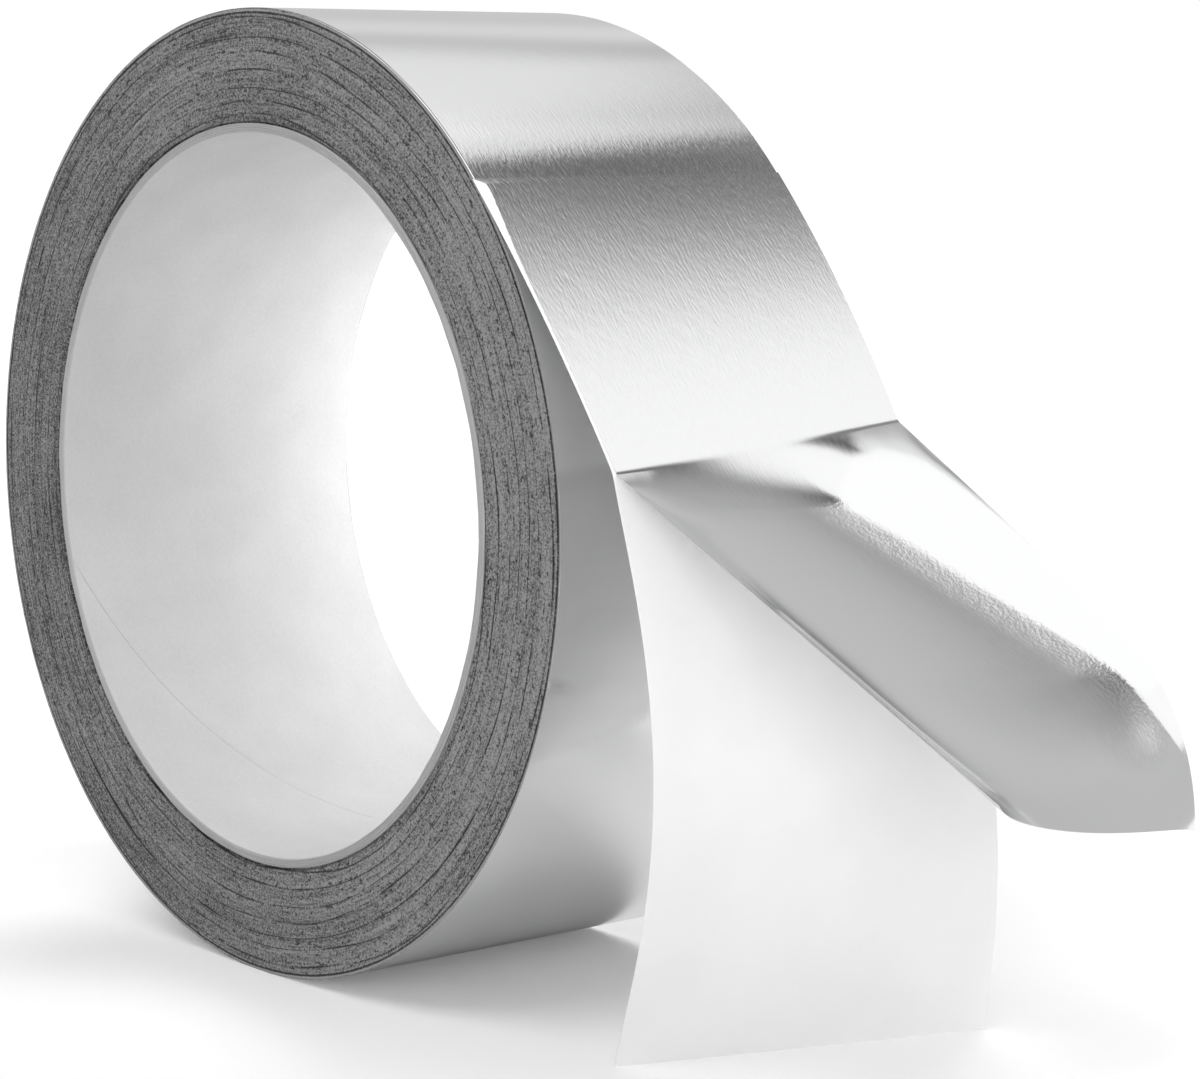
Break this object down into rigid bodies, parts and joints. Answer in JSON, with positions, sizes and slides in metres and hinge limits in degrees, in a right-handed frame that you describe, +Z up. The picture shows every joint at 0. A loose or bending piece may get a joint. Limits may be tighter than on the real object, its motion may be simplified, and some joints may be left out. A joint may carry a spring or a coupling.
{
  "type": "aluminium foil tape",
  "caption": "Roll of aluminium foil tape on a paper core, its free end peeled back from the white release liner that hangs below it.",
  "frame": {"origin": "centre of the core's bore, halfway along it", "axes": "+X from the roll towards the tape's free end, +Y along the roll's axis away from its front face, +Z up with the roll stood on its rim"},
  "size_m": [0.1573, 0.0429, 0.1027],
  "materials": {
    "core_paper": "matte",
    "wound_foil": "satin",
    "foil": "satin",
    "liner_paper": "satin"
  },
  "bodies": {
    "root": {"core": "core_paper", "tape_roll": "wound_foil", "foil_end": "foil", "liner_end": "liner_paper"}
  },
  "joints": []
}
